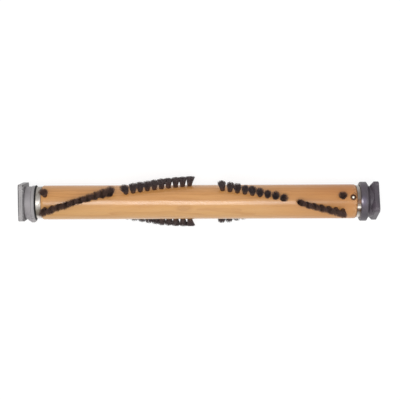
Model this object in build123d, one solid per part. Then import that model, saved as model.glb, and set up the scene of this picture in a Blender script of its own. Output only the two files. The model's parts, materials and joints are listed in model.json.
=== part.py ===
from build123d import *

import math
import os

# Wooden brush roll of an upright vacuum cleaner, in millimetres.
#
# A turned wooden core carries two opposite rows of bristle tufts, each a shallow V that leaves a bare belt
# track near the middle. A steel stub axle is pinned into each end of the core and turns in a ball bearing,
# and the bearing is pushed into a moulded end cap that the cleaner's nozzle holds still.
#
# The roll turns about X, +Z is up, and the origin is on the axis, midway between the two outer faces.
# Angles round the roll are measured from +Z towards +Y. "Out" is a distance along the axis, outwards from the
# shoulder where the core's full diameter ends.

# Wooden core
CORE_LENGTH = 302.0
CORE_RADIUS = 16.4
SHOULDER_ROUND = 2.2
SPIGOT_STEP = 1.8  # how far the spigot under a ferrule is turned below the core
SPIGOT_LENGTH = 4.4

# Bristle tufts
LEFT_INNER_PITCH = 6.7
RIGHT_INNER_PITCH = 7.1
OUTER_PITCH = 6.9
TUFT_HOLE_RADIUS = 2.25
TUFT_HOLE_DEPTH = 8.0
TUFT_HEIGHT = 8.9  # from the core's surface to the trimmed tips
TUFT_TIP_RADIUS = 3.3
# Each run starts at an angle, at its tuft nearest the belt, and would make a whole turn in the length below
RUN_ANGLES = {"left_inner": 72.5, "left_outer": 25.5, "right_inner": 45.2, "right_outer": -3.4}
RUN_LEADS = {"left_inner": 550.0, "left_outer": 460.0, "right_inner": 565.0, "right_outer": 530.0}
ROW_TURNS = {"a": 0.0, "b": 180.0}
BELT_TRACK_CENTRE = 6.65
BELT_TRACK_CLEAR = 31.5  # between the tufts on each side of the belt
LEFT_INNER_TUFTS = 10
RIGHT_INNER_TUFTS = 9
LEFT_BAR_GAP = 15.2  # bare stretches that pass the sole plate's cross bars
RIGHT_BAR_GAP = 16.4
LEFT_END_MARGIN = 4.0  # least distance from the outermost tuft to the shoulder
RIGHT_END_MARGIN = 12.0
EDGE_TUFT_LEADS = {"left": 47.6, "right": 45.3}  # angle from each row's outermost tuft to a single one
ANCHOR_THICKNESS = 0.5  # flat wire that staples a tuft into its hole
ANCHOR_HEIGHT = 1.8
ANCHOR_BITE = 0.35  # how far each end of the wire cuts into the wood
ANCHOR_LIFT = 1.0  # from the foot of the hole

# Stub axles and their cross pins
AXLE_RADIUS = 4.0
AXLE_DEPTH = 36.0
AXLE_OVERHANG = 0.9  # past the retaining ring
AXLE_CHAMFER = 0.5
PIN_RADIUS = 1.3
PIN_FROM_SHOULDER = 4.2
PIN_DOME = 0.65  # rounding of each end
PIN_SINK = 0.3  # from the core's surface to the pin's end
PIN_MOUTH_RADIUS = 2.2
PIN_MOUTH_DEPTH = 1.2
PIN_ANGLES = {"left": 90.0, "right": 14.0}

# Ball bearings
BEARING_RADIUS = 11.0
BEARING_WIDTH = 7.0
BALL_RADIUS = 1.984
BALL_COUNT = 7
BALL_PLAY = 0.03
RACE_LAND = 1.5  # from a race's land to the ball circle
CAGE_HALF_WALL = 1.0  # half the cage's radial thickness
CAGE_SIDE_GAP = 0.316  # between the cage and each shield
CAGE_PLAY = 0.1
SHIELD_THICKNESS = 0.3
SHIELD_INSET = 0.2
SHIELD_SEAT = 0.4
RACE_CHAMFER = 0.4

# Ferrules, spacers, felt seals and retaining rings
FERRULE_WALL = 0.8
FERRULE_BEND = 0.7
SPACER_WALL = 1.5
FELT_THICKNESS = 0.7
FELT_PROUD = 0.4  # how far the left felt stands out of the cap's lip
RING_THICKNESS = 0.8
RING_WALL = 2.2
RING_GROOVE_DEPTH = 0.4
RING_MOUTH = 5.0

# Both end caps
BEARING_INSET = 1.7  # from a cap's inner face to its bearing
POCKET_STEP = 3.0  # shoulder that the bearing's outer race stops against
POCKET_CLEAR = 0.7
CAP_END_WALL = 3.7
CAP_DISH_RADIUS = 11.0
CAP_DISH_DEPTH = 1.0
CAP_EDGE_ROUND = 0.8

# Left end cap
LEFT_CAP_WALL = 4.6  # from the bearing to the floor of the groove
LEFT_LIP_HEIGHT = 0.7
LEFT_LIP_WIDTH = 2.8
LEFT_LIP_SLOPE = 0.7
LEFT_FLANGE_HEIGHT = 2.0  # from the floor of the groove to the flat sides of the flange
LEFT_FLANGE_THICKNESS = 5.5
LEFT_FLANGE_CORNER = 2.5
LEFT_FLANGE_OFFSET = 0.9  # from the axis to the middle of the square, so that each side sets its own height
LEFT_CAP_ANGLE = -5.0
PARTING_WIDTH = 0.5  # groove that the mould's two halves leave round the flange
PARTING_DEPTH = 0.3
FOOT_ANGLE = -96.0
FOOT_WIDTH = 9.0
FOOT_HEIGHT = 2.5  # above the lip
FOOT_LEAD = 0.8
FOOT_LAND = 2.6
FOOT_LENGTH = 7.2

# Right end cap
RIGHT_CAP_WALL = 3.8
RIGHT_SKIRT_WALL = 3.1
RIGHT_SKIRT_START = 3.3
RIGHT_SKIRT_ROUND = 1.4
RIGHT_SLOPE = 2.6  # length of the skirt's slope down to the groove
RIGHT_FLOOR = 0.8
RIGHT_FLANGE_HEIGHT = 0.7
RIGHT_FLANGE_THICKNESS = 8.0
RIGHT_FLANGE_CORNER = 4.0
RIGHT_FLANGE_BEVEL = 3.4
RIGHT_FLANGE_OFFSET = 0.5
RIGHT_CAP_ANGLE = 18.0

# Clearances
FIT = 0.02  # gap at a push or press fit
TUFT_FIT = 0.1  # radial gap round a tuft in its hole
RUNNING_GAP = 0.3  # between pieces that turn past each other
CUT_OVER = 1.0  # how far a cutting tool runs past the face that it opens
TOUCH = 1e-3  # two places this close are the same

SIDES = {"left": -1, "right": 1}

# Places along the axis, out from the shoulder
ferrule_end = SPIGOT_LENGTH + FERRULE_WALL
felt_start = ferrule_end + RUNNING_GAP
cap_seat = felt_start + FELT_THICKNESS
bearing_start = cap_seat + BEARING_INSET
bearing_end = bearing_start + BEARING_WIDTH
bearing_middle = (bearing_start + bearing_end) / 2
ring_start = bearing_end + FIT
ring_end = ring_start + RING_THICKNESS
axle_end = ring_end + AXLE_OVERHANG
pocket_end = axle_end + POCKET_CLEAR
cap_end = pocket_end + CAP_END_WALL

# Radii that follow from the sizes above
spigot_radius = CORE_RADIUS - SPIGOT_STEP
ferrule_radius = spigot_radius + FIT + FERRULE_WALL
axle_bore = AXLE_RADIUS + FIT
spacer_radius = axle_bore + SPACER_WALL
ball_circle = (AXLE_RADIUS + BEARING_RADIUS) / 2
inner_land = ball_circle - RACE_LAND
outer_land = ball_circle + RACE_LAND
ring_groove = AXLE_RADIUS - RING_GROOVE_DEPTH
pocket_radius = BEARING_RADIUS - POCKET_STEP
brush_radius = CORE_RADIUS + TUFT_HEIGHT
left_groove = BEARING_RADIUS + LEFT_CAP_WALL
left_lip = left_groove + LEFT_LIP_HEIGHT
right_groove = BEARING_RADIUS + RIGHT_CAP_WALL
skirt_bore = ferrule_radius + RUNNING_GAP
skirt_radius = skirt_bore + RIGHT_SKIRT_WALL


def along(side, out):
    """X of a point that lies so far out from one end's shoulder."""
    return SIDES[side] * (CORE_LENGTH / 2 + out)


def turned(side, *outline):
    """Solid of revolution about the roll's axis, from (out, radius) points."""
    points = [(along(side, out), radius) for out, radius in outline]
    return revolve(make_face(Polyline(*points, close=True)), Axis.X)


def collar(side, start, end, bore, radius):
    """Plain ring from start to end, or a disc where the bore is zero."""
    return turned(side, (start, bore), (end, bore), (end, radius), (start, radius))


def around(x, angle):
    """Place on the axis at x whose own +Z points at the angle round the roll."""
    return Pos(x, 0, 0) * Rot(-angle, 0, 0)


def lies_at(edge, side, out):
    """True if every end of an edge is in the plane so far out."""
    return all(abs(vertex.X - along(side, out)) < TOUCH for vertex in edge.vertices())


def circle_at(solid, side, out, radius):
    """The solid's circular edges of one radius, in the plane so far out."""
    circles = solid.edges().filter_by(GeomType.CIRCLE)
    return [edge for edge in circles if lies_at(edge, side, out) and abs(edge.radius - radius) < TOUCH]


# Tuft pattern


def arm_runs(side, first, inner_pitch, inner_count, bar_gap, margin):
    """X of the tufts in the inner and outer run of a row's arm, from the belt track outwards."""
    inner = [first + inner_pitch * step for step in range(inner_count)]
    start = inner[-1] + bar_gap
    outer_count = int((CORE_LENGTH / 2 - margin - start) / OUTER_PITCH) + 1
    outer = [start + OUTER_PITCH * step for step in range(outer_count)]
    return {
        f"{side}_inner": [SIDES[side] * distance for distance in inner],
        f"{side}_outer": [SIDES[side] * distance for distance in outer],
    }


def tuft_runs():
    """X of every tuft of one row, for each run between bare stretches."""
    half_track = BELT_TRACK_CLEAR / 2
    left_first = half_track - BELT_TRACK_CENTRE
    right_first = half_track + BELT_TRACK_CENTRE
    left_sizes = (LEFT_INNER_PITCH, LEFT_INNER_TUFTS, LEFT_BAR_GAP, LEFT_END_MARGIN)
    right_sizes = (RIGHT_INNER_PITCH, RIGHT_INNER_TUFTS, RIGHT_BAR_GAP, RIGHT_END_MARGIN)
    return {**arm_runs("left", left_first, *left_sizes), **arm_runs("right", right_first, *right_sizes)}


def run_angle(x, run, positions):
    """Angle round the roll of a run at x, falling away from the belt."""
    return RUN_ANGLES[run] - 360.0 * abs(x - positions[0]) / RUN_LEADS[run]


def tuft_places():
    """Places of the tufts of each node, every one pointing its +Z out of its hole."""
    runs = tuft_runs()
    places = {}
    for row, turn in ROW_TURNS.items():
        for run, positions in runs.items():
            angles = [run_angle(x, run, positions) + turn for x in positions]
            places[f"tufts_row_{row}_{run}"] = [around(*spot) for spot in zip(positions, angles)]
    for side in SIDES:
        run = f"{side}_outer"
        x = runs[run][-1]
        angle = run_angle(x, run, runs[run]) + EDGE_TUFT_LEADS[side]
        places[f"edge_tufts_{side}"] = [around(x, angle + turn) for turn in ROW_TURNS.values()]
    return places


def anchor(extra=0.0):
    """Flat anchor wire across the foot of a tuft hole, grown by extra on every side."""
    length = 2 * (TUFT_HOLE_RADIUS + ANCHOR_BITE + extra)
    middle = CORE_RADIUS - TUFT_HOLE_DEPTH + ANCHOR_LIFT + ANCHOR_HEIGHT / 2
    return Pos(0, 0, middle) * Box(length, ANCHOR_THICKNESS + 2 * extra, ANCHOR_HEIGHT + 2 * extra)


def tuft_hole():
    """Drill for one tuft, with the slits that its anchor wire cuts."""
    depth = TUFT_HOLE_DEPTH + CUT_OVER
    drill = Pos(0, 0, CORE_RADIUS + CUT_OVER - depth / 2) * Cylinder(TUFT_HOLE_RADIUS, depth)
    return drill + anchor(FIT)


def tuft():
    """One bundle of bristles: a round root in its hole and a head that fans out to the trimmed tips."""
    root = TUFT_HOLE_RADIUS - TUFT_FIT
    foot = CORE_RADIUS - TUFT_HOLE_DEPTH
    tip = math.sqrt(brush_radius**2 - TUFT_TIP_RADIUS**2)
    outline = [(0, foot), (root, foot), (root, CORE_RADIUS), (TUFT_TIP_RADIUS, tip), (0, tip)]
    profile = make_face(Polyline(*outline, close=True))
    return revolve(Plane.XZ * profile, Axis.Z) - anchor(FIT)


# Pieces that turn together


def cross_bar(side, radius, reach):
    """Straight round bar through the axis at one end's cross pin, reaching equally far both ways."""
    return around(along(side, -PIN_FROM_SHOULDER), PIN_ANGLES[side]) * Cylinder(radius, 2 * reach)


def pin_mouths(side):
    """Wider mouth of the pin hole at each end of it."""
    height = PIN_MOUTH_DEPTH + CUT_OVER
    place = around(along(side, -PIN_FROM_SHOULDER), PIN_ANGLES[side])
    middle = CORE_RADIUS + CUT_OVER - height / 2
    return [place * Pos(0, 0, way * middle) * Cylinder(PIN_MOUTH_RADIUS, height) for way in (-1, 1)]


def core():
    """Turned wooden core with its spigots, axle bores, pin holes and tuft holes."""
    body = Rot(0, 90, 0) * Cylinder(CORE_RADIUS, CORE_LENGTH)
    shoulders = [edge for side in SIDES for edge in circle_at(body, side, 0, CORE_RADIUS)]
    body = fillet(shoulders, SHOULDER_ROUND)
    body += Rot(0, 90, 0) * Cylinder(spigot_radius, CORE_LENGTH + 2 * SPIGOT_LENGTH)
    cuts = []
    for side in SIDES:
        cuts.append(collar(side, -AXLE_DEPTH, SPIGOT_LENGTH + CUT_OVER, 0, axle_bore))
        cuts.append(cross_bar(side, PIN_RADIUS + FIT, CORE_RADIUS))
        cuts.extend(pin_mouths(side))
    drill = tuft_hole()
    for places in tuft_places().values():
        cuts.extend(place * drill for place in places)
    return body - cuts


def axle(side):
    """Steel stub axle with a ring groove near its outer end and a cross hole for its pin."""
    groove_end = ring_end + FIT
    bar = turned(
        side,
        (-AXLE_DEPTH, 0),
        (-AXLE_DEPTH, AXLE_RADIUS - AXLE_CHAMFER),
        (-AXLE_DEPTH + AXLE_CHAMFER, AXLE_RADIUS),
        (bearing_end, AXLE_RADIUS),
        (bearing_end, ring_groove),
        (groove_end, ring_groove),
        (groove_end, AXLE_RADIUS),
        (axle_end - AXLE_CHAMFER, AXLE_RADIUS),
        (axle_end, AXLE_RADIUS - AXLE_CHAMFER),
        (axle_end, 0),
    )
    return bar - cross_bar(side, PIN_RADIUS + FIT, CORE_RADIUS)


def axle_pin(side):
    """Steel cross pin that locks a stub axle in the core, its domed ends just below the wood."""
    pin = cross_bar(side, PIN_RADIUS, CORE_RADIUS - PIN_SINK)
    return fillet(pin.edges().filter_by(GeomType.CIRCLE), PIN_DOME)


def ferrule(side):
    """Pressed steel cup on the core's spigot, with a hole for the axle."""
    bore = spigot_radius + FIT
    cup = turned(
        side,
        (FIT, bore),
        (FIT, ferrule_radius),
        (ferrule_end, ferrule_radius),
        (ferrule_end, axle_bore),
        (SPIGOT_LENGTH, axle_bore),
        (SPIGOT_LENGTH, bore),
    )
    return fillet(circle_at(cup, side, ferrule_end, ferrule_radius), FERRULE_BEND)


def spacer(side):
    """Steel sleeve that holds the bearing's inner race off the ferrule."""
    return collar(side, ferrule_end, bearing_start, axle_bore, spacer_radius)


def retaining_ring(side):
    """Open spring ring in the axle's groove, outside the bearing."""
    radius = ring_groove + RING_WALL
    hoop = collar(side, ring_start, ring_end, ring_groove + FIT, radius)
    mouth = Box(RING_THICKNESS + 2 * CUT_OVER, RING_MOUTH, radius)
    return hoop - Pos(along(side, (ring_start + ring_end) / 2), 0, SIDES[side] * radius / 2) * mouth


# Ball bearings


def ball_path(side):
    """Torus that the balls sweep, with their running play."""
    path = Torus(ball_circle, BALL_RADIUS + BALL_PLAY)
    return Pos(along(side, bearing_middle), 0, 0) * Rot(0, 90, 0) * path


def inner_race(side):
    """Inner race on the axle."""
    return collar(side, bearing_start, bearing_end, axle_bore, inner_land) - ball_path(side)


def outer_race(side):
    """Outer race in the cap, with a step at each face for a shield."""
    seat = outer_land + SHIELD_SEAT
    step = SHIELD_INSET + SHIELD_THICKNESS
    race = turned(
        side,
        (bearing_start, seat),
        (bearing_start + step, seat),
        (bearing_start + step, outer_land),
        (bearing_end - step, outer_land),
        (bearing_end - step, seat),
        (bearing_end, seat),
        (bearing_end, BEARING_RADIUS - RACE_CHAMFER),
        (bearing_end - RACE_CHAMFER, BEARING_RADIUS),
        (bearing_start + RACE_CHAMFER, BEARING_RADIUS),
        (bearing_start, BEARING_RADIUS - RACE_CHAMFER),
    )
    return race - ball_path(side)


def shields(side):
    """Two thin steel discs that close the bearing, seated in the outer race."""
    bore = inner_land + RUNNING_GAP
    radius = outer_land + SHIELD_SEAT - FIT
    starts = (bearing_start + SHIELD_INSET, bearing_end - SHIELD_INSET - SHIELD_THICKNESS)
    return [collar(side, start, start + SHIELD_THICKNESS, bore, radius) for start in starts]


def ball_places(side):
    """Centres of the balls on their circle."""
    steps = [360.0 * index / BALL_COUNT for index in range(BALL_COUNT)]
    return [around(along(side, bearing_middle), step) * Pos(0, 0, ball_circle) for step in steps]


def balls(side):
    """The bearing's steel balls."""
    return [place * Sphere(BALL_RADIUS) for place in ball_places(side)]


def cage(side):
    """Moulded cage that spaces the balls."""
    half_width = BEARING_WIDTH / 2 - SHIELD_INSET - SHIELD_THICKNESS - CAGE_SIDE_GAP
    hoop = collar(
        side,
        bearing_middle - half_width,
        bearing_middle + half_width,
        ball_circle - CAGE_HALF_WALL,
        ball_circle + CAGE_HALF_WALL,
    )
    return hoop - [place * Sphere(BALL_RADIUS + CAGE_PLAY) for place in ball_places(side)]


# End caps and their seals


def cap_hollows(side):
    """Bearing seat, clearance for the axle's end, and the shallow dish in the outer face."""
    return [
        collar(side, cap_seat - CUT_OVER, bearing_end, 0, BEARING_RADIUS + FIT),
        collar(side, bearing_end - CUT_OVER, pocket_end, 0, pocket_radius),
        collar(side, cap_end - CAP_DISH_DEPTH, cap_end + CUT_OVER, 0, CAP_DISH_RADIUS),
    ]


def flange(side, half_width, corner, start):
    """Square plate with round corners, from start to the cap's outer face, its outer edge rounded."""
    outline = RectangleRounded(2 * half_width, 2 * half_width, corner)
    plate = extrude(Plane.YZ * outline, cap_end - start)
    plate = Pos(min(along(side, start), along(side, cap_end)), 0, 0) * plate
    rim = [edge for edge in plate.edges() if lies_at(edge, side, cap_end)]
    return fillet(rim, CAP_EDGE_ROUND)


def parting_groove(half_width, corner, start):
    """Shallow groove round the middle of the left cap's flange, as a cutter."""
    outside = RectangleRounded(2 * (half_width + CUT_OVER), 2 * (half_width + CUT_OVER), corner)
    bottom = half_width - PARTING_DEPTH
    inside = RectangleRounded(2 * bottom, 2 * bottom, corner - PARTING_DEPTH)
    middle = along("left", (start + cap_end) / 2)
    return Pos(middle - PARTING_WIDTH / 2, 0, 0) * extrude(Plane.YZ * (outside - inside), PARTING_WIDTH)


def foot():
    """Sloping key on the left cap's lip, pointing +Z."""
    low = left_groove - CUT_OVER
    high = left_lip + FOOT_HEIGHT
    outline = [
        (along("left", cap_seat), low),
        (along("left", cap_seat), high - FOOT_LEAD),
        (along("left", cap_seat + FOOT_LEAD), high),
        (along("left", cap_seat + FOOT_LEAD + FOOT_LAND), high),
        (along("left", cap_seat + FOOT_LENGTH), left_lip),
        (along("left", cap_seat + FOOT_LENGTH), low),
    ]
    side_face = Plane.XZ * make_face(Polyline(*outline, close=True))
    return extrude(side_face, FOOT_WIDTH / 2, both=True)


def left_cap():
    """Pale end cap: a lip with a key, a groove for the nozzle's wall and a square flange."""
    flange_start = cap_end - LEFT_FLANGE_THICKNESS
    lip_end = cap_seat + LEFT_LIP_WIDTH
    barrel = turned(
        "left",
        (cap_seat, 0),
        (cap_seat, left_lip),
        (lip_end, left_lip),
        (lip_end + LEFT_LIP_SLOPE, left_groove),
        (flange_start, left_groove),
        (flange_start, 0),
    )
    half_width = left_groove + LEFT_FLANGE_HEIGHT
    plate = flange("left", half_width, LEFT_FLANGE_CORNER, flange_start)
    plate -= parting_groove(half_width, LEFT_FLANGE_CORNER, flange_start)
    plate = Pos(0, LEFT_FLANGE_OFFSET, 0) * around(0, LEFT_CAP_ANGLE) * plate
    cap = barrel + plate + around(0, FOOT_ANGLE) * foot()
    return cap - cap_hollows("left")


def right_cap():
    """Dark end cap: a skirt over the ferrule, a narrow groove and a square flange with a bevelled back."""
    flange_start = cap_end - RIGHT_FLANGE_THICKNESS
    slope_end = flange_start - RIGHT_FLOOR
    barrel = turned(
        "right",
        (RIGHT_SKIRT_START, 0),
        (RIGHT_SKIRT_START, skirt_radius),
        (slope_end - RIGHT_SLOPE, skirt_radius),
        (slope_end, right_groove),
        (flange_start + RIGHT_FLANGE_BEVEL, right_groove),
        (flange_start + RIGHT_FLANGE_BEVEL, 0),
    )
    barrel = fillet(circle_at(barrel, "right", RIGHT_SKIRT_START, skirt_radius), RIGHT_SKIRT_ROUND)
    plate = flange("right", right_groove + RIGHT_FLANGE_HEIGHT, RIGHT_FLANGE_CORNER, flange_start)
    back = [edge for edge in plate.edges() if lies_at(edge, "right", flange_start)]
    plate = chamfer(back, RIGHT_FLANGE_BEVEL)
    shroud = collar("right", RIGHT_SKIRT_START - CUT_OVER, cap_seat, 0, skirt_bore)
    cap = barrel + Pos(0, RIGHT_FLANGE_OFFSET, 0) * around(0, RIGHT_CAP_ANGLE) * plate
    return cap - [shroud, *cap_hollows("right")]


def felt_seal(side):
    """Felt ring on a cap's inner face, which brushes the ferrule and keeps hair out of the bearing."""
    radius = left_lip + FELT_PROUD if side == "left" else skirt_bore - FIT
    return collar(side, felt_start, cap_seat, spacer_radius + RUNNING_GAP, radius)


# Assembly


def tuft_nodes():
    """Nodes of the tufts, and of the anchor wires of each row and of the edge tufts."""
    bundle = tuft()
    wire = anchor()
    nodes = {}
    for name, places in tuft_places().items():
        nodes[name] = [place * bundle for place in places]
        group = "edge" if name.startswith("edge") else "_".join(name.split("_")[1:3])
        nodes.setdefault(f"tuft_anchors_{group}", []).extend(place * wire for place in places)
    return nodes


def end_nodes(side):
    """Nodes of one end, apart from its cap."""
    return {
        f"{side}_axle": [axle(side)],
        f"{side}_axle_pin": [axle_pin(side)],
        f"{side}_ferrule": [ferrule(side)],
        f"{side}_spacer": [spacer(side)],
        f"{side}_retaining_ring": [retaining_ring(side)],
        f"{side}_inner_race": [inner_race(side)],
        f"{side}_outer_race": [outer_race(side)],
        f"{side}_bearing_shields": shields(side),
        f"{side}_bearing_balls": balls(side),
        f"{side}_bearing_cage": [cage(side)],
        f"{side}_felt_seal": [felt_seal(side)],
    }


def main():
    nodes = {"wooden_core": [core()], "left_end_cap": [left_cap()], "right_end_cap": [right_cap()]}
    nodes.update(tuft_nodes())
    for side in SIDES:
        nodes.update(end_nodes(side))
    os.makedirs("parts", exist_ok=True)
    for name, shapes in nodes.items():
        solids = [solid for shape in shapes for solid in shape.solids()]
        export_step(solids[0] if len(solids) == 1 else Compound(solids), f"parts/{name}.step")
        print(name, "solids", len(solids), "volume", round(sum(solid.volume for solid in solids), 2))
    print("overall length", 2 * along("right", cap_end), "brush diameter", 2 * brush_radius)


main()
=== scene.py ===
# %% [markdown]
# # A wooden brush roll
#
# This is the roll that turns inside the nozzle of an upright vacuum cleaner. A lacquered wooden core
# carries two rows of nylon bristle tufts, and a moulded cap on each end holds a ball bearing.
#
# The measured model comes in first and stays fixed. It is in metres, the roll's axis is X, and +Z is up.
# Everything made below is laid on that frame.

# %% Load the measured model
import json
import math

import bpy
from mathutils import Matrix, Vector


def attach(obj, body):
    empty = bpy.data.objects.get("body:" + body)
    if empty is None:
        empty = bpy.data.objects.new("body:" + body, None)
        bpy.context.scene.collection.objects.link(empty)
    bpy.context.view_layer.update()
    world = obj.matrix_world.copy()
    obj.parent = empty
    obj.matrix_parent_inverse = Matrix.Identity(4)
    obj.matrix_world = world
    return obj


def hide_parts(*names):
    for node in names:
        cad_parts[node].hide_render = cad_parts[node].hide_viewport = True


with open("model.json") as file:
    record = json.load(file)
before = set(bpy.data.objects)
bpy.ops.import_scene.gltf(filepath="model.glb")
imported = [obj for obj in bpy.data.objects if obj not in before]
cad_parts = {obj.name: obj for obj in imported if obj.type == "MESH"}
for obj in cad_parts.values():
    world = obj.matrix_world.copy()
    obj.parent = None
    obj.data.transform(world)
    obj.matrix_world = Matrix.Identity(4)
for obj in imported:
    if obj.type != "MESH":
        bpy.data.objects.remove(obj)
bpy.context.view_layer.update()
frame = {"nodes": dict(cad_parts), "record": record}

nodes = frame["nodes"]

# %% [markdown]
# ## Sums with sockets
#
# Node trees are drawn in the editor, but they can also be written down. A small class wraps one output
# socket, and Python's own operators then add Math nodes, so that `1 - mask * 0.4` reads like the sum it is.
# Every other node comes from one method, which sets the node up before it feeds its sockets.
# The finishes, the bristle tree, the floor and the sky are all written with these classes.


# %% Socket and tree helpers
class Wire:
    """One output socket that Python can do sums with."""

    def __init__(self, tree, socket):
        self.tree = tree
        self.socket = socket

    def math(self, operation, other=0.0, swap=False):
        pair = (other, self) if swap else (self, other)
        return self.tree.add("ShaderNodeMath", {"operation": operation}, dict(enumerate(pair)))[0]

    def __add__(self, other):
        return self.math("ADD", other)

    def __radd__(self, other):
        return self.math("ADD", other)

    def __sub__(self, other):
        return self.math("SUBTRACT", other)

    def __rsub__(self, other):
        return self.math("SUBTRACT", other, swap=True)

    def __mul__(self, other):
        return self.math("MULTIPLY", other)

    def __rmul__(self, other):
        return self.math("MULTIPLY", other)

    def __truediv__(self, other):
        return self.math("DIVIDE", other)

    def __pow__(self, other):
        return self.math("POWER", other)

    def least(self, other):
        return self.math("MINIMUM", other)

    def most(self, other):
        return self.math("MAXIMUM", other)

    def between(self, low, high):
        """0 at low, 1 at high, smooth in between."""
        settings = {"interpolation_type": "SMOOTHSTEP"}
        sockets = {"Value": self, "From Min": low, "From Max": high}
        return self.tree.add("ShaderNodeMapRange", settings, sockets)[0]

    def bell(self, centre, width):
        """1 at the centre, falling to nothing a few widths away."""
        return (0 - ((self - centre) / width) ** 2).math("EXPONENT")


class Made:
    """A new node, whose outputs come back as wires."""

    def __init__(self, tree, node):
        self.tree = tree
        self.node = node

    def __getitem__(self, key):
        return Wire(self.tree, self.node.outputs[key])


class Tree:
    """A node tree that is written in Python."""

    def __init__(self, node_tree):
        self.node_tree = node_tree

    def add(self, kind, settings=None, sockets=None):
        node = self.node_tree.nodes.new(kind)
        for name, value in (settings or {}).items():
            setattr(node, name, value)
        for key, value in (sockets or {}).items():
            self.feed(node.inputs[key], value)
        return Made(self, node)

    def feed(self, socket, value):
        if isinstance(value, Wire):
            self.node_tree.links.new(value.socket, socket)
        else:
            socket.default_value = value


print("helpers ready")

# %% [markdown]
# ## A base for every finish
#
# Each finish starts from one Principled shader. Its place on the object is read from Object coordinates,
# in millimetres, because the pieces all sit at the origin and a pattern then stays put when a piece turns.
# Colours are written as they would be picked from a colour chart, and changed to linear light here.


# %% Finish helper
def light(red, green, blue):
    """Linear colour, with alpha, of a chart colour from 0 to 255."""
    parts = [channel / 255 for channel in (red, green, blue)]
    return [p / 12.92 if p <= 0.04045 else ((p + 0.055) / 1.055) ** 2.4 for p in parts] + [1.0]


finishes = {}


class Finish(Tree):
    """One material with its Principled shader and its place on the object."""

    def __init__(self, name, **constants):
        self.material = bpy.data.materials.new(name)
        self.material.use_nodes = True
        finishes[name] = self.material
        super().__init__(self.material.node_tree)
        self.shader = self.node_tree.nodes["Principled BSDF"]
        self.use(**constants)
        place = self.add("ShaderNodeTexCoord")["Object"]
        self.mm = self.add("ShaderNodeVectorMath", {"operation": "SCALE"}, {0: place, "Scale": 1000.0})[0]
        parts = self.add("ShaderNodeSeparateXYZ", None, {0: self.mm})
        self.x, self.y, self.z = parts["X"], parts["Y"], parts["Z"]

    def use(self, **values):
        """Sets or links the shader's sockets, with _ for a space in their names."""
        for socket, value in values.items():
            self.feed(self.shader.inputs[socket.replace("_", " ")], value)

    def stretched(self, *scale):
        """Place on the object, with each axis scaled by itself."""
        return self.add("ShaderNodeVectorMath", {"operation": "MULTIPLY"}, {0: self.mm, 1: scale})[0]

    def noise(self, scale, detail=3.0, rough=0.55, twist=0.0):
        """Soft noise, from about 0 to 1, whose grain is one over the scale in millimetres."""
        sockets = {"Vector": self.stretched(*scale), "Scale": 1.0, "Detail": detail, "Roughness": rough}
        sockets["Distortion"] = twist
        return self.add("ShaderNodeTexNoise", None, sockets)[0]

    def mix(self, share, first, second):
        """Colour that goes from first to second as the share goes from 0 to 1."""
        return self.add("ShaderNodeMix", {"data_type": "RGBA"}, {0: share, 6: first, 7: second})[2]

    def bump(self, height, depth_mm, strength=1.0):
        """Sends a height to the shader's normal."""
        sockets = {"Height": height, "Distance": depth_mm / 1000, "Strength": strength}
        self.use(Normal=self.add("ShaderNodeBump", None, sockets)[0])


print("chart white is", [round(channel, 3) for channel in light(255, 255, 255)])

# %% [markdown]
# ## Lacquered wood
#
# The core is a turned hardwood dowel under clear lacquer. A dowel is cut out of a plank, so its growth rings
# are nearly flat sheets that the round surface slices: straight lines along the sides, and long tongues where
# the surface runs along a sheet. A picture of wood would have to be wrapped round the dowel. Here the rings
# are worked out in space, as the distance from the heart of the tree, and the surface simply cuts them.
# Fine fibres and pores are noise pulled out along the axis, and a small knot pushes the rings aside.

# %% Growth rings, fibres and a knot
wood = Finish("lacquered_wood", Specular_IOR_Level=0.25, Coat_Roughness=0.19, Coat_IOR=1.5)
heart_y, heart_z = 19.0, -52.0
ring_gap = 2.3
slow_wander, quick_wander = 9.0, 1.6
knot_x, knot_y = -14.8, -6.4
knot_length, knot_width, knot_push = 7.0, 2.6, 3.2

upper_half = wood.z.between(0.0, 8.0)
knot = wood.x.bell(knot_x, knot_length) * wood.y.bell(knot_y, knot_width) * upper_half
wander = wood.noise((0.007, 0.06, 0.06), detail=2.0) * slow_wander
wander = wander + wood.noise((0.03, 0.25, 0.25), detail=2.0) * quick_wander
from_heart = ((wood.y - heart_y) ** 2 + (wood.z - heart_z) ** 2).math("SQRT")
ring = ((from_heart + wander + knot * knot_push) / ring_gap).math("FRACT")
late_wood = ring**3 * (1 - ring.between(0.94, 1.0))
fibres = wood.noise((0.045, 2.6, 2.6), detail=4.0, rough=0.65)
pores = wood.noise((0.22, 3.4, 3.4), detail=2.0).between(0.63, 0.74)
print("rings every", ring_gap, "mm")

# %% [markdown]
# The colour drifts slowly across the dowel, darker and more orange on its upper side: partly the redder wood
# that lay nearer the heart of the tree, partly painted shade. It reddens towards the right end too, and there
# the upper side gets more of the same painted shade. Late wood, the dense part of each ring, and the fibres
# darken it, and the pores and the knot are darker still.

# %% Wood colour
# Partly grain and partly painted shade: the upper side is drawn darker and more orange.
grain_and_shade_side = (wood.y + wood.noise((0.012, 0.1, 0.1)) * 9.0).between(-8.0, 14.0)
tan, amber = light(216, 164, 99), light(223, 161, 95)
dark_tan, dark_amber = light(193, 137, 77), light(190, 127, 68)
early_colour = wood.mix(grain_and_shade_side, tan, amber)
late_colour = wood.mix(grain_and_shade_side, dark_tan, dark_amber)
ring_colour = wood.mix(late_wood * 0.55 + fibres.between(0.35, 0.75) * 0.45, early_colour, late_colour)
flecked = wood.mix(pores * 0.35, ring_colour, light(120, 76, 42))
knotted = wood.mix(knot * 0.3, flecked, light(150, 96, 56))
# More painted shade with the grain: the upper side of the right end is drawn redder and darker.
upper_end_grain_and_shade = wood.x.between(85.0, 145.0) * wood.y.between(3.0, 11.0)
redder = wood.mix(wood.x.between(20.0, 150.0) * 0.5 + upper_end_grain_and_shade * 0.3, knotted, light(197, 130, 75))
print("colours go from tan to amber")

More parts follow.
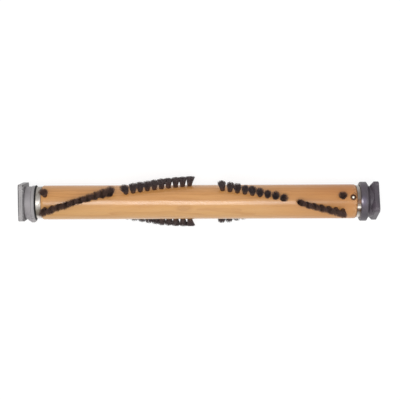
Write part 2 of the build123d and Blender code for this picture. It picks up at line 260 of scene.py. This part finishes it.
# %% [markdown]
# Steel and damp leave a dark ring in the wood round a cross pin, and a slipping tool has left a few slanting
# marks beside it. The pin's place is known, so the ring is the distance from the pin's own axis, made ragged
# by the fibres, and the marks are a sine wave across the slant that fades away from the pin. The last few
# millimetres of wood before the right ferrule are bruised, and show as pale and dark flecks.

# %% Stain round the right pin, and the bruised end
pin_x, pin_angle = 146.8, math.radians(14.0)
stain_from, stain_to = 3.0, 4.0
marks_offset, marks_from, marks_to = 2.2, 2.0, 3.8
mark_radians_per_mm, mark_start = 2.35, 0.6
bruise_from, bruise_to = 145.0, 150.5

pin_side = wood.y * math.cos(pin_angle) - wood.z * math.sin(pin_angle)
pin_along = wood.x - pin_x
from_pin = (pin_along**2 + pin_side**2).math("SQRT") + fibres * 0.9
ring_stain = 1 - from_pin.between(stain_from, stain_to)
from_marks = ((pin_along - marks_offset) ** 2 + (pin_side - marks_offset) ** 2).math("SQRT")
slant = ((pin_along + pin_side) * mark_radians_per_mm + mark_start).math("SINE").between(-0.2, 0.8)
marks = slant * (1 - from_marks.between(marks_from, marks_to)) * 0.9
stain = ring_stain.most(marks) * upper_half
bruise = wood.noise((1.1, 1.1, 1.1), detail=3.0)
last_of_wood = wood.x.between(bruise_from, bruise_to)
paled = wood.mix(last_of_wood * bruise.between(0.52, 0.62) * 0.55, redder, light(230, 204, 176))
bruised = wood.mix(last_of_wood * (1 - bruise.between(0.38, 0.48)) * 0.6, paled, light(128, 80, 46))
wood.use(Base_Color=wood.mix(stain * 0.92, bruised, light(70, 38, 22)), Roughness=0.4 + fibres * 0.2)
wood.bump(fibres * 0.6 - pores * 0.5, 0.03, 0.4)
print("stain at x", pin_x, "mm")

# %% [markdown]
# Lacquer is a second, smooth surface over the wood. That is what the shader's coat is for, and it keeps the
# highlight white while the wood below stays warm. The lacquer was brushed on, so it is thicker in some
# streaks than in others. It is worn towards both ends, more so at the right, and mostly gone where the wood
# is stained. Its thickness is the shader's coat weight.

# %% Lacquer
streaks = wood.noise((0.035, 0.3, 0.3), detail=2.0).between(0.35, 0.65)
worn = wood.x.between(50.0, 150.0) * 0.5 + (1 - wood.x.between(-140.0, -95.0)) * 0.25
wood.use(Coat_Weight=(0.78 + streaks * 0.22) * (1 - worn) * (1 - stain * 0.85))
print("finish:", wood.material.name, len(wood.node_tree.nodes), "nodes")

# %% [markdown]
# ## Bristle nylon
#
# The filaments are dark nylon, nearly black, with a brown cast where light gets in at the foot of a tuft.
# Each filament carries two numbers of its own, made with the bristles below: `strand`, a random shade, and
# `rise`, which goes from 0 at the hole to 1 at the trimmed tip. A finish can read such numbers as attributes.
# The outer runs did most of the sweeping, and dust has browned them.

# %% Nylon from the filaments' own numbers
nylon = Finish("bristle", Roughness=0.42, Specular_IOR_Level=0.4)
strand = nylon.add("ShaderNodeAttribute", {"attribute_name": "strand"})["Fac"]
rise = nylon.add("ShaderNodeAttribute", {"attribute_name": "rise"})["Fac"]
foot_colour = nylon.mix(strand, light(68, 45, 34), light(98, 67, 48))
tip_colour = nylon.mix(strand, light(54, 43, 43), light(96, 79, 78))
along_strand = nylon.noise((0.6, 0.6, 0.6)) * 0.2 + rise
strand_colour = nylon.mix(along_strand.between(0.1, 0.65), foot_colour, tip_colour)
outer_runs = nylon.x.math("ABSOLUTE").between(76.0, 88.0)
nylon.use(Base_Color=nylon.mix(outer_runs * 0.3, strand_colour, light(130, 92, 68)))
print("finish:", nylon.material.name)

# %% [markdown]
# ## Moulded caps
#
# Both caps are injection mouldings with a fine spark-eroded skin. Their colour clouds a little where the
# plastic flowed, and the proud rims are chipped and rubbed lighter. The groove is drawn darker as painted
# shade, and lines of painted shade run along edges near the groove and the cap's end. The groove's place is
# known from the measured model, so this painted shade is placed along the axis, and the chips by distance
# from the axis. One function makes both, because only the colours and places differ.

# %% Moulded plastic
# Colour of the lines of painted shade along the caps' edges.
painted_edge_shade = light(70, 66, 69)


def moulded(name, *, body, cloud, painted_groove_shade, rub, groove, painted_shade_lines, rim, roughness):
    """Plastic with clouded colour, painted shade in the groove, lines of painted shade and chipped rims.

    A line of painted shade is its place along the axis, half its width, and how far from the middle it
    starts.
    """
    plastic = Finish(name, Specular_IOR_Level=0.45)
    skin = plastic.noise((5.0, 5.0, 5.0), detail=2.0)
    flow = plastic.noise((0.22, 0.12, 0.12), detail=3.0, twist=0.6)
    scuff = plastic.noise((0.9, 0.35, 1.6), detail=4.0, rough=0.7).between(0.56, 0.72)
    first, last = groove
    inside = plastic.x.between(first - 0.4, first) * (1 - plastic.x.between(last, last + 0.4))
    from_axis = (plastic.y**2 + plastic.z**2).math("SQRT")
    from_middle = plastic.y.math("ABSOLUTE").most(plastic.z.math("ABSOLUTE"))
    chips = plastic.noise((0.75, 0.75, 0.75), detail=4.0, rough=0.65).between(0.5, 0.6)
    chips = chips * from_axis.between(rim, rim + 1.5)
    colour = plastic.mix(flow.between(0.3, 0.7), body, cloud)
    # Painted shade: the groove is drawn darker.
    colour = plastic.mix(inside * 0.55, colour, painted_groove_shade)
    # Lines of painted shade along edges near the groove and the cap's end.
    for place, half_width, start in painted_shade_lines:
        line = 1 - (plastic.x - place).math("ABSOLUTE").between(half_width * 0.4, half_width)
        line = line * from_middle.between(start, start + 0.8)
        colour = plastic.mix(line * (0.65 + flow * 0.35), colour, painted_edge_shade)
    colour = plastic.mix(scuff * (1 - inside) * 0.22, colour, rub)
    plastic.colour = plastic.mix(chips * 0.6, colour, rub)
    plastic.use(Base_Color=plastic.colour, Roughness=roughness + skin * 0.14 - scuff * 0.08)
    plastic.bump(skin * 0.7 + flow * 0.3, 0.05, 0.45)
    return plastic


print("grime is", [round(channel, 3) for channel in painted_edge_shade])

# %% [markdown]
# The left cap is pale grey and the right one is a dark, slightly violet grey. On the rounded rim of the dark
# cap's skirt, a painted highlight stands where the top lamp glints, in a patch of painted violet glow. Both
# are bell curves round a place on the rim, laid over the finished colour.

# %% The pale cap and the dark cap
pale = moulded(
    "pale_cap",
    body=light(168, 164, 164),
    cloud=light(157, 154, 155),
    painted_groove_shade=light(156, 150, 154),
    rub=light(196, 193, 192),
    groove=(-166.5, -160.5),
    painted_shade_lines=((-172.0, 1.6, 15.8), (-167.0, 1.2, 9.0)),
    rim=19.5,
    roughness=0.38,
)
dark = moulded(
    "dark_cap",
    body=light(88, 78, 87),
    cloud=light(74, 69, 76),
    painted_groove_shade=light(70, 62, 70),
    rub=light(134, 126, 132),
    groove=(160.2, 165.4),
    painted_shade_lines=((161.0, 0.6, 9.0),),
    rim=18.5,
    roughness=0.34,
)
upper_side = dark.z.between(0.0, 6.0)
# Painted glow: a violet patch round the lamp's glint on the rim.
painted_glow = dark.x.bell(156.3, 2.6) * dark.y.bell(0.2, 4.0) * upper_side
# Painted highlight: a pale spot where the rim's round catches the top lamp.
painted_glint = dark.x.bell(154.9, 0.75) * dark.y.bell(0.0, 1.9) * upper_side
painted_glow_colour = dark.mix(painted_glow * 0.5, dark.colour, light(124, 112, 142))
dark.use(Base_Color=dark.mix(painted_glint, painted_glow_colour, light(244, 236, 250)))
print("finishes:", pale.material.name, dark.material.name)

# %% [markdown]
# ## Steel
#
# The ferrules are pressed sheet with a bright plating, the axles are ground bar, the wire is drawn and the
# bearing is ground and polished. All four are the same metal under different tools, so one function makes
# them. What differs is the direction of the marks: round the axis from a lathe or a grinder, along it from
# a drawing die.


# %% Four steels
def steel(name, *, body, tarnish, marks, roughness, spots):
    """Metal with tool marks that are fine in one direction, and clouds of tarnish."""
    metal = Finish(name, Metallic=1.0)
    line = metal.noise(marks, detail=4.0, rough=0.7)
    cloud = metal.noise((0.4, 0.25, 0.25), detail=4.0, twist=0.4).between(0.48, 0.75)
    metal.colour = metal.mix(cloud * spots, body, tarnish)
    metal.use(Base_Color=metal.colour)
    metal.use(Roughness=roughness + line * 0.14 + cloud * (0.2 * spots))
    metal.bump(line, 0.012, 0.6)
    return metal


ferrule = steel(
    "ferrule_steel",
    body=light(168, 163, 157),
    tarnish=light(112, 101, 84),
    marks=(9.0, 0.35, 0.35),
    roughness=0.25,
    spots=0.7,
)
steel(
    "axle_steel",
    body=light(240, 233, 218),
    tarnish=light(178, 164, 146),
    marks=(7.0, 0.5, 0.5),
    roughness=0.36,
    spots=0.25,
)
steel(
    "bearing_steel",
    body=light(206, 206, 209),
    tarnish=light(170, 168, 166),
    marks=(11.0, 0.3, 0.3),
    roughness=0.1,
    spots=0.2,
)
steel(
    "anchor_wire",
    body=light(190, 188, 184),
    tarnish=light(132, 120, 104),
    marks=(0.6, 6.0, 6.0),
    roughness=0.28,
    spots=0.5,
)
print("finishes:", [name for name in finishes if "steel" in name or "wire" in name])

# %% [markdown]
# Brown runs of lacquer lie over the right ferrule, and they also paint shade over the place where the top
# lamp's highlight falls. Below them, one spot is a painted highlight. The left ferrule is painted darker
# above and below its bright middle, a painted reflection, and both are painted pale along the lower side, a
# painted reflection of the white floor. Smooth steps and bell curves across the ferrule place these marks.

# %% Painted reflections and marks on the ferrules
front = ferrule.z.between(0.0, 6.0)
right_end = ferrule.x.between(-1.0, 1.0) * front
# Painted reflection of the white floor along the lower side.
painted_floor_reflection = 1 - ferrule.y.between(-14.0, -11.5)
# Painted reflection: the left ferrule is drawn darker above and below its middle.
painted_dim_reflection = (1 - ferrule.y.between(-8.0, -4.0) + ferrule.y.between(4.0, 8.0) * 0.4) * front * (1 - right_end)
# Lacquer runs that also paint shade over the lamp's highlight on the right ferrule.
lacquer_and_shade_bands = ferrule.y.bell(-0.8, 3.2) + ferrule.y.bell(6.0, 5.5) * 0.6 + ferrule.y.bell(-8.6, 2.0)
lacquer_and_shade = lacquer_and_shade_bands.least(1.0) * right_end
# Painted highlight on the right ferrule.
painted_ferrule_highlight = ferrule.y.bell(-5.6, 0.8) * right_end
ferrule_colour = ferrule.mix(painted_dim_reflection * 0.7, ferrule.colour, light(92, 84, 68))
ferrule_colour = ferrule.mix(lacquer_and_shade * 0.92, ferrule_colour, light(82, 56, 38))
ferrule_colour = ferrule.mix(painted_floor_reflection * 0.8, ferrule_colour, light(228, 220, 213))
ferrule.use(Base_Color=ferrule.mix(painted_ferrule_highlight, ferrule_colour, light(252, 246, 236)))
print("marked:", ferrule.material.name)

# %% [markdown]
# ## Felt and the bearing's cage
#
# The seal is black wool felt, a mat of fibres with no sheen to speak of, so its finish is rough and its
# surface uneven. The cage between the balls is natural nylon, a milky plastic. It is hidden in the bearing,
# but it is finished like the rest.

# %% Felt and cage nylon
felt = Finish("black_felt", Specular_IOR_Level=0.15, Sheen_Weight=0.12, Sheen_Roughness=0.6)
mat = felt.noise((2.4, 2.4, 2.4), detail=5.0, rough=0.7, twist=1.2)
felt.use(Base_Color=felt.mix(mat.between(0.3, 0.75), light(10, 9, 10), light(32, 30, 31)))
felt.use(Roughness=0.85 + mat * 0.15)
felt.bump(mat, 0.25, 0.8)

milky = Finish("cage_nylon", Specular_IOR_Level=0.4)
haze = milky.noise((1.1, 1.1, 1.1), detail=3.0)
milky.use(Base_Color=milky.mix(haze, light(224, 216, 198), light(204, 194, 172)), Roughness=0.4 + haze * 0.2)
milky.bump(haze, 0.02, 0.4)
print("finishes:", len(finishes))

# %% [markdown]
# ## Give every measured piece its finish
#
# The record that travels with the model names a material slot for every node. Each node keeps its mesh and
# only its finish is exchanged, so its shape and place stay as they were measured.

# %% Finishes by slot
slot_of = {row["node"]: row["material_slot"] for row in frame["record"]["subparts"]}
for name, node in nodes.items():
    for slot in node.material_slots:
        slot.material = finishes[slot_of[name]]
print("finished nodes:", len(slot_of), "slots:", len(set(slot_of.values())))

# %% [markdown]
# ## Bristle tufts
#
# A tuft is a bundle of nylon filaments folded over a wire and driven into a drilled hole. Packed tight in
# the hole, the filaments spread as they leave it, and a cutter trims their tips to one radius. A particle
# system could grow them, but it leaves hair that the export can't carry. Geometry Nodes give real strands:
# one thin stalk is repeated for every filament, then each stalk is bent to its own root and tip.
#
# The sizes of a run are named inputs of the tree, so one tree makes all the runs. An input that a run leaves
# alone is zero.

# %% The tree's inputs
bristle_inputs = {
    "NodeSocketInt": ("Tufts", "Filaments", "Seed"),
    "NodeSocketMaterial": ("Nylon",),
    "NodeSocketFloat": (
        "First X",
        "Pitch",
        "First Angle",
        "Turn",
        "Hole Radius",
        "Hole Foot",
        "Core Radius",
        "Trim Radius",
        "Filament Radius",
        "Fan Along",
        "Fan Around",
        "Row Slope",
        "End Bloom",
        "End Pinch",
        "First Wear",
        "First Lean",
        "Last Lean",
    ),
}
bristle_tree = bpy.data.node_groups.new("bristle_run", "GeometryNodeTree")
bristle_tree.interface.new_socket("Geometry", in_out="OUTPUT", socket_type="NodeSocketGeometry")
bristle_sockets = {}
for kind, names in bristle_inputs.items():
    for name in names:
        socket = bristle_tree.interface.new_socket(name, in_out="INPUT", socket_type=kind)
        bristle_sockets[name] = socket.identifier
print("inputs:", ", ".join(bristle_sockets))

# %% [markdown]
# The filaments are counted off first: which tuft each one belongs to, and its number in that tuft. Laid out
# like the seeds of a sunflower, each a golden angle on from the last, they fill the hole evenly.

# %% Count the filaments
grow = Tree(bristle_tree)
given = grow.add("NodeGroupInput")
golden_angle = math.radians(137.508)
tuft_twist = 1.7

number = grow.add("GeometryNodeInputIndex")[0]
tuft = (number / given["Filaments"]).math("FLOOR")
tufts_to_go = given["Tufts"] - 1 - tuft
in_tuft = number - tuft * given["Filaments"]
reach = ((in_tuft + 0.5) / given["Filaments"]).math("SQRT")
swing = in_tuft * golden_angle + tuft * tuft_twist
across = reach * swing.math("COSINE")
around = reach * swing.math("SINE")
print("filaments spread by", round(math.degrees(golden_angle), 1), "degrees")

# %% [markdown]
# Random numbers that go with the tuft's number make the tufts lean and open a little differently, and others
# that go with the filament ruffle its tip. Tufts that have been pressed together open along the row, so the
# row's slope can shear the spread of the tips. At the ends of a run nothing presses on them, so there they
# open sideways instead: they bloom round the roll and are pinched along it. Wear can shorten the first tufts
# of a run. All of these fade from tuft to tuft.

# %% Tip of every filament
least_open, most_open = 0.93, 1.1
stray_along, stray_around = 0.0006, 0.0005
ruffle = 0.00035
cut_short, cut_long = 0.0004, 0.00005
lean_fade, pinch_fade, wear_fade = 1.3, 0.9, 0.35
first_bloom_fade, last_bloom_fade, last_bloom_share = 0.45, 1.2, 0.4


def dice(low, high, key, salt):
    """Random number from low to high that belongs to the key."""
    sockets = {2: low, 3: high, 7: key, 8: given["Seed"] + salt}
    return grow.add("FunctionNodeRandomValue", {"data_type": "FLOAT"}, sockets)[1]


def fading(tufts_away, rate):
    """1 at the end of a run, and less with every tuft away from it."""
    return (tufts_away * -rate).math("EXPONENT")


opening = dice(least_open, most_open, tuft, 1)
lean = given["First Lean"] * fading(tuft, lean_fade) + given["Last Lean"] * fading(tufts_to_go, lean_fade)
pinch = given["End Pinch"] * (fading(tuft, pinch_fade) + fading(tufts_to_go, pinch_fade))
tip_across = across * opening * (1 - pinch) * given["Fan Along"] + lean
tip_across = tip_across + dice(-stray_along, stray_along, tuft, 2) + dice(-ruffle, ruffle, number, 3)
bloom = fading(tuft, first_bloom_fade) + fading(tufts_to_go, last_bloom_fade) * last_bloom_share
bloom = 1 + given["End Bloom"] * bloom
tip_around = around * opening * bloom * given["Fan Around"] + tip_across * given["Row Slope"]
tip_around = tip_around + dice(-stray_around, stray_around, tuft, 4) + dice(-ruffle, ruffle, number, 5)
trim = given["Trim Radius"] - given["First Wear"] * fading(tuft, wear_fade)
trim = trim + dice(-cut_short, cut_long, number, 6)
tip_height = (trim * trim - tip_around * tip_around).math("SQRT")
print("tips ruffled by", round(1000 * ruffle, 2), "mm")

# %% [markdown]
# Each filament is now a point that carries its root, its tip and its tuft's place. The stalk that is repeated
# on the points is a four-sided tube one unit long: a few faces are enough for something this thin. After
# the copies are made real, every corner of a tube knows how far up its own filament it sits.


# %% Points, stalk and copies
def kept(geometry, name, kind, value):
    """Geometry with one more attribute on its points."""
    settings = {"data_type": kind, "domain": "POINT"}
    sockets = {"Geometry": geometry, "Name": name, "Value": value}
    return grow.add("GeometryNodeStoreNamedAttribute", settings, sockets)["Geometry"]


def vector(x, y, z):
    return grow.add("ShaderNodeCombineXYZ", None, {"X": x, "Y": y, "Z": z})[0]


root_room = given["Hole Radius"] - given["Filament Radius"]
tuft_x = given["First X"] + given["Pitch"] * tuft
tuft_angle = given["First Angle"] + given["Turn"] * tuft
points = grow.add("GeometryNodePoints", None, {"Count": given["Tufts"] * given["Filaments"]})[0]
root = vector(across * root_room, around * root_room, given["Hole Foot"])
points = kept(points, "root", "FLOAT_VECTOR", root)
points = kept(points, "tip", "FLOAT_VECTOR", vector(tip_across, tip_around, tip_height))
points = kept(points, "place", "FLOAT_VECTOR", vector(tuft_x, tuft_angle, 0.0))
points = kept(points, "strand", "FLOAT", dice(0.0, 1.0, number, 7))
stalk_sizes = {"Vertices": 4, "Side Segments": 5, "Radius": 1.0, "Depth": 1.0}
stalk = grow.add("GeometryNodeMeshCylinder", {"fill_type": "NGON"}, stalk_sizes)[0]
stalk = kept(stalk, "shape", "FLOAT_VECTOR", grow.add("GeometryNodeInputPosition")[0])
copies = grow.add("GeometryNodeInstanceOnPoints", None, {"Points": points, "Instance": stalk})[0]
strands = grow.add("GeometryNodeRealizeInstances", None, {"Geometry": copies})[0]
print("stalk:", stalk_sizes)

# %% [markdown]
# The bend comes last. Up to the mouth of the hole a filament is straight, and from there it swings out to its
# tip and thins a little. The result is first worked out in the tuft's own directions, along the roll, round
# it and away from it, and is then turned into place.

# %% Bend and place the filaments
hole_share = 0.2
bend_power = 1.25
tip_taper = 0.25


def parts_of(name):
    """The three parts of a vector attribute."""
    wire = grow.add("GeometryNodeInputNamedAttribute", {"data_type": "FLOAT_VECTOR"}, {"Name": name})[0]
    split = grow.add("ShaderNodeSeparateXYZ", None, {0: wire})
    return split["X"], split["Y"], split["Z"]


shape_x, shape_y, shape_z = parts_of("shape")
root_x, root_y, root_z = parts_of("root")
tip_x, tip_y, tip_z = parts_of("tip")
place_x, place_angle, _ = parts_of("place")
height_share = shape_z + 0.5
in_hole = (height_share / hole_share).least(1.0)
free = ((height_share - hole_share) / (1 - hole_share)).most(0.0)
bend = free**bend_power
thick = given["Filament Radius"] * (1 - free * tip_taper)
along_roll = root_x + (tip_x - root_x) * bend + shape_x * thick
round_roll = root_y + (tip_y - root_y) * bend + shape_y * thick
mouth = given["Core Radius"]
away = root_z + (mouth - root_z) * in_hole + (tip_z - mouth) * free
sine, cosine = place_angle.math("SINE"), place_angle.math("COSINE")
spot = vector(place_x + along_roll, away * sine + round_roll * cosine, away * cosine - round_roll * sine)
strands = kept(strands, "rise", "FLOAT", free)
strands = grow.add("GeometryNodeSetPosition", None, {"Geometry": strands, "Position": spot})[0]
strands = grow.add("GeometryNodeSetShadeSmooth", None, {"Geometry": strands, "Shade Smooth": True})[0]
for name in ("root", "tip", "place", "shape"):
    strands = grow.add("GeometryNodeRemoveAttribute", None, {"Geometry": strands, "Name": name})[0]
strands = grow.add("GeometryNodeSetMaterial", None, {"Geometry": strands, "Material": given["Nylon"]})[0]
grow.add("NodeGroupOutput", None, {"Geometry": strands})
print("bristle tree:", len(bristle_tree.nodes), "nodes")

# %% [markdown]
# The runs follow the drilled holes of the measured model. Each row is a shallow V of four runs, and a second
# row stands half a turn away. A run is its number of tufts, the x of the first one, the pitch, the angle of
# the first one in degrees, and the length of roll in which the row would go right round. At each end of a
# row one extra tuft stands ahead of the outermost one. These edge tufts are given by their x, their angle,
# and their lean and spread along the roll.
#
# The tufts at the ends of an inner run have no neighbour on one side, so they lean out, and the run still
# stands as separate tufts. The outer runs have been pressed into one ragged band, and most of their end tufts
# lean in.

# %% Sizes of the runs
core_radius = 0.0164
hole_radius = 0.00225
hole_depth = 0.008
trim_radius = 0.0253
runs = {
    "left_inner": (10, -0.0091, -0.0067, 72.5, 0.550),
    "left_outer": (10, -0.0846, -0.0069, 25.5, 0.460),
    "right_inner": (9, 0.0224, 0.0071, 45.2, 0.565),
    "right_outer": (7, 0.0956, 0.0069, -3.4, 0.530),
}
edge_tufts = {"left": (-0.1467, 24.5, -0.0005, 0.0049), "right": (0.1370, 13.8, -0.0008, 0.0046)}
fans = {
    "left_inner": {"Fan Along": 0.0043, "Fan Around": 0.0040},
    "left_outer": {"Fan Along": 0.0064, "Fan Around": 0.0037, "End Bloom": 0.6, "End Pinch": 0.2},
    "right_inner": {"Fan Along": 0.0039, "Fan Around": 0.0042},
    "right_outer": {"Fan Along": 0.0062, "Fan Around": 0.0035, "End Pinch": 0.2},
}
outward_leans = {
    "left_inner": (0.0012, 0.0012),
    "left_outer": (-0.0001, 0.0005),
    "right_inner": (0.0007, 0.0007),
    "right_outer": (-0.0010, -0.0016),
}
follow_row = {"left_outer": 0.9, "right_outer": 0.9}
own_sizes = {
    "tufts_row_b_left_inner": {"Fan Around": 0.0050, "First Wear": 0.0014},
    "tufts_row_b_right_inner": {"Fan Around": 0.0052},
}
shared_sizes = {
    "Filaments": 200,
    "Filament Radius": 0.00017,
    "Hole Radius": hole_radius,
    "Hole Foot": core_radius - hole_depth,
    "Core Radius": core_radius,
    "Trim Radius": trim_radius,
    "Nylon": finishes["bristle"],
}
print("tufts:", 2 * sum(run[0] for run in runs.values()) + 2 * len(edge_tufts))

# %% [markdown]
# A modifier runs the tree on an empty mesh, and the bristles that come out are copied into a plain mesh of
# their own. The modifier and its seedling can then go. Each mesh stands for one measured node of tufts, which
# it hides, and it rides on the roller.


# %% Grow a run
def placed(name, data):
    """New object in the scene."""
    thing = bpy.data.objects.new(name, data)
    bpy.context.scene.collection.objects.link(thing)
    return thing


def grow_run(node, sizes):
    """Bristles that stand for one node of tufts, as a plain mesh on the roller."""
    seedling = placed("seedling", bpy.data.meshes.new("seedling"))
    modifier = seedling.modifiers.new("bristles", "NODES")
    modifier.node_group = bristle_tree
    for name, value in {**shared_sizes, **sizes}.items():
        modifier[bristle_sockets[name]] = value
    grown = seedling.evaluated_get(bpy.context.evaluated_depsgraph_get())
    mesh = bpy.data.meshes.new_from_object(grown)
    seedling.modifiers.remove(modifier)
    bpy.data.objects.remove(seedling)
    bristles = placed(node + "_bristles", mesh)
    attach(bristles, "roller")
    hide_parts(node)
    print(bristles.name, len(mesh.polygons), "faces")


print("filaments in a tuft:", shared_sizes["Filaments"])

# %% [markdown]
# A run's sizes become the tree's inputs. A run is counted from the middle of the roll outwards, so its first
# tuft leans out of the run towards the middle, and its last one away from it. The edge tufts come in pairs,
# one for each row, so the second of a pair is half a turn from the first.


# %% Grow all the runs
def run_sizes(run, seed, turn):
    """The tree's inputs for one run of the row that is turned by so many degrees."""
    count, first_x, pitch, angle, full_turn = runs[run]
    first_lean, last_lean = outward_leans[run]
    outward = math.copysign(1.0, pitch)
    turn_per_tuft = -math.tau * abs(pitch) / full_turn
    return {
        "Tufts": count,
        "First X": first_x,
        "Pitch": pitch,
        "First Angle": math.radians(angle + turn),
        "Turn": turn_per_tuft,
        "First Lean": -outward * first_lean,
        "Last Lean": outward * last_lean,
        "Row Slope": follow_row.get(run, 0.0) * trim_radius * turn_per_tuft / pitch,
        "Seed": 20 * seed + int(turn),
    }


for turn, row in ((0.0, "a"), (180.0, "b")):
    for seed, run in enumerate(runs):
        node = f"tufts_row_{row}_{run}"
        grow_run(node, run_sizes(run, seed, turn) | fans[run] | own_sizes.get(node, {}))
for seed, (side, (edge_x, angle, edge_lean, edge_fan)) in enumerate(edge_tufts.items()):
    edge_sizes = {
        "Tufts": 2,
        "First X": edge_x,
        "First Angle": math.radians(angle),
        "Turn": math.pi,
        "First Lean": edge_lean,
        "Last Lean": edge_lean,
        "Fan Along": edge_fan,
        "Fan Around": 0.0038,
        "Seed": 400 + seed,
    }
    grow_run(f"edge_tufts_{side}", edge_sizes)

# %% [markdown]
# ## Floor, light and camera
#
# The roll lies on its bristles on a plain white floor. White paint under soft light would come out grey, so
# the floor is two things at once. To the camera, a mirror or a glass it glows almost white and still takes
# the roll's shadow. To the light that bounces off it, it is an ordinary pale card.


# %% Floor
def seen_directly(tree):
    """1 for a look from the camera, a mirror or a glass, and 0 for bounced light."""
    path = tree.add("ShaderNodeLightPath")
    return path["Is Camera Ray"].most(path["Is Glossy Ray"]).most(path["Is Transmission Ray"])


half_floor = 3.0
square = ((-1, -1), (1, -1), (1, 1), (-1, 1))
corners = [(half_floor * x, half_floor * y, -trim_radius) for x, y in square]
floor_mesh = bpy.data.meshes.new("floor")
floor_mesh.from_pydata(corners, [], [(0, 1, 2, 3)])
floor = placed("floor", floor_mesh)
card = bpy.data.materials.new("white_floor")
card.use_nodes = True
card.node_tree.nodes.clear()
floor_mesh.materials.append(card)
paper = Tree(card.node_tree)
plain = paper.add("ShaderNodeBsdfDiffuse", None, {"Color": light(228, 228, 228)})[0]
shadow_card = paper.add("ShaderNodeBsdfDiffuse", None, {"Color": light(140, 140, 140)})[0]
glow = paper.add("ShaderNodeEmission", None, {"Color": light(255, 255, 255), "Strength": 0.82})[0]
bright = paper.add("ShaderNodeAddShader", None, {0: shadow_card, 1: glow})[0]
mixed = paper.add("ShaderNodeMixShader", None, {0: seen_directly(paper), 1: plain, 2: bright})[0]
paper.add("ShaderNodeOutputMaterial", None, {"Surface": mixed})
print("floor at", trim_radius, "m below the axis")

# %% [markdown]
# A broad soft lamp hangs above the camera, so that the lacquer shows one bright stripe along the top. A
# weaker one fills in from the front, and an even sky does the rest. The sky is white to look at but lights
# the roll with half of that, because together they should give about as much light as makes a white card
# look white. Every finish then shows the colour it was given.

# %% Sky and lamps
sky_light, sky_seen = 0.5, 1.0
world = bpy.data.worlds.new("studio")
bpy.context.scene.world = world
world.use_nodes = True
world.node_tree.nodes.clear()
sky = Tree(world.node_tree)
strength = sky_light + seen_directly(sky) * (sky_seen - sky_light)
air = sky.add("ShaderNodeBackground", None, {"Color": light(255, 255, 255), "Strength": strength})[0]
sky.add("ShaderNodeOutputWorld", None, {"Surface": air})


def lamp(name, *, place, size, watts):
    """Soft rectangular lamp that faces the roll."""
    data = bpy.data.lights.new(name, "AREA")
    data.shape = "RECTANGLE"
    data.size, data.size_y = size
    data.energy = watts
    body = placed(name, data)
    body.location = place
    body.rotation_euler = (-Vector(place)).to_track_quat("-Z", "Y").to_euler()


lamp("top_lamp", place=(-0.06, -0.13, 1.25), size=(0.62, 0.5), watts=6.8)
lamp("front_lamp", place=(0.0, -1.1, 0.75), size=(1.8, 1.0), watts=2.2)
print("lamps:", [item.name for item in bpy.data.lights])

# %% [markdown]
# The camera looks straight down from about a metre, through a long lens, so that the roll shows hardly any
# perspective. It is turned a little, because the roll doesn't lie quite level in the picture.

# %% Camera
scene = bpy.context.scene
scene.view_settings.view_transform = "Standard"
eye = bpy.data.cameras.new("eye")
eye.sensor_width, eye.lens = 36.0, 97.0
camera = placed("camera", eye)
camera.location = (0.0009, 0.0018, 1.04)
camera.rotation_euler = (0.0, 0.0, math.radians(-0.23))
scene.camera = camera
print("camera", tuple(round(value, 4) for value in camera.location))
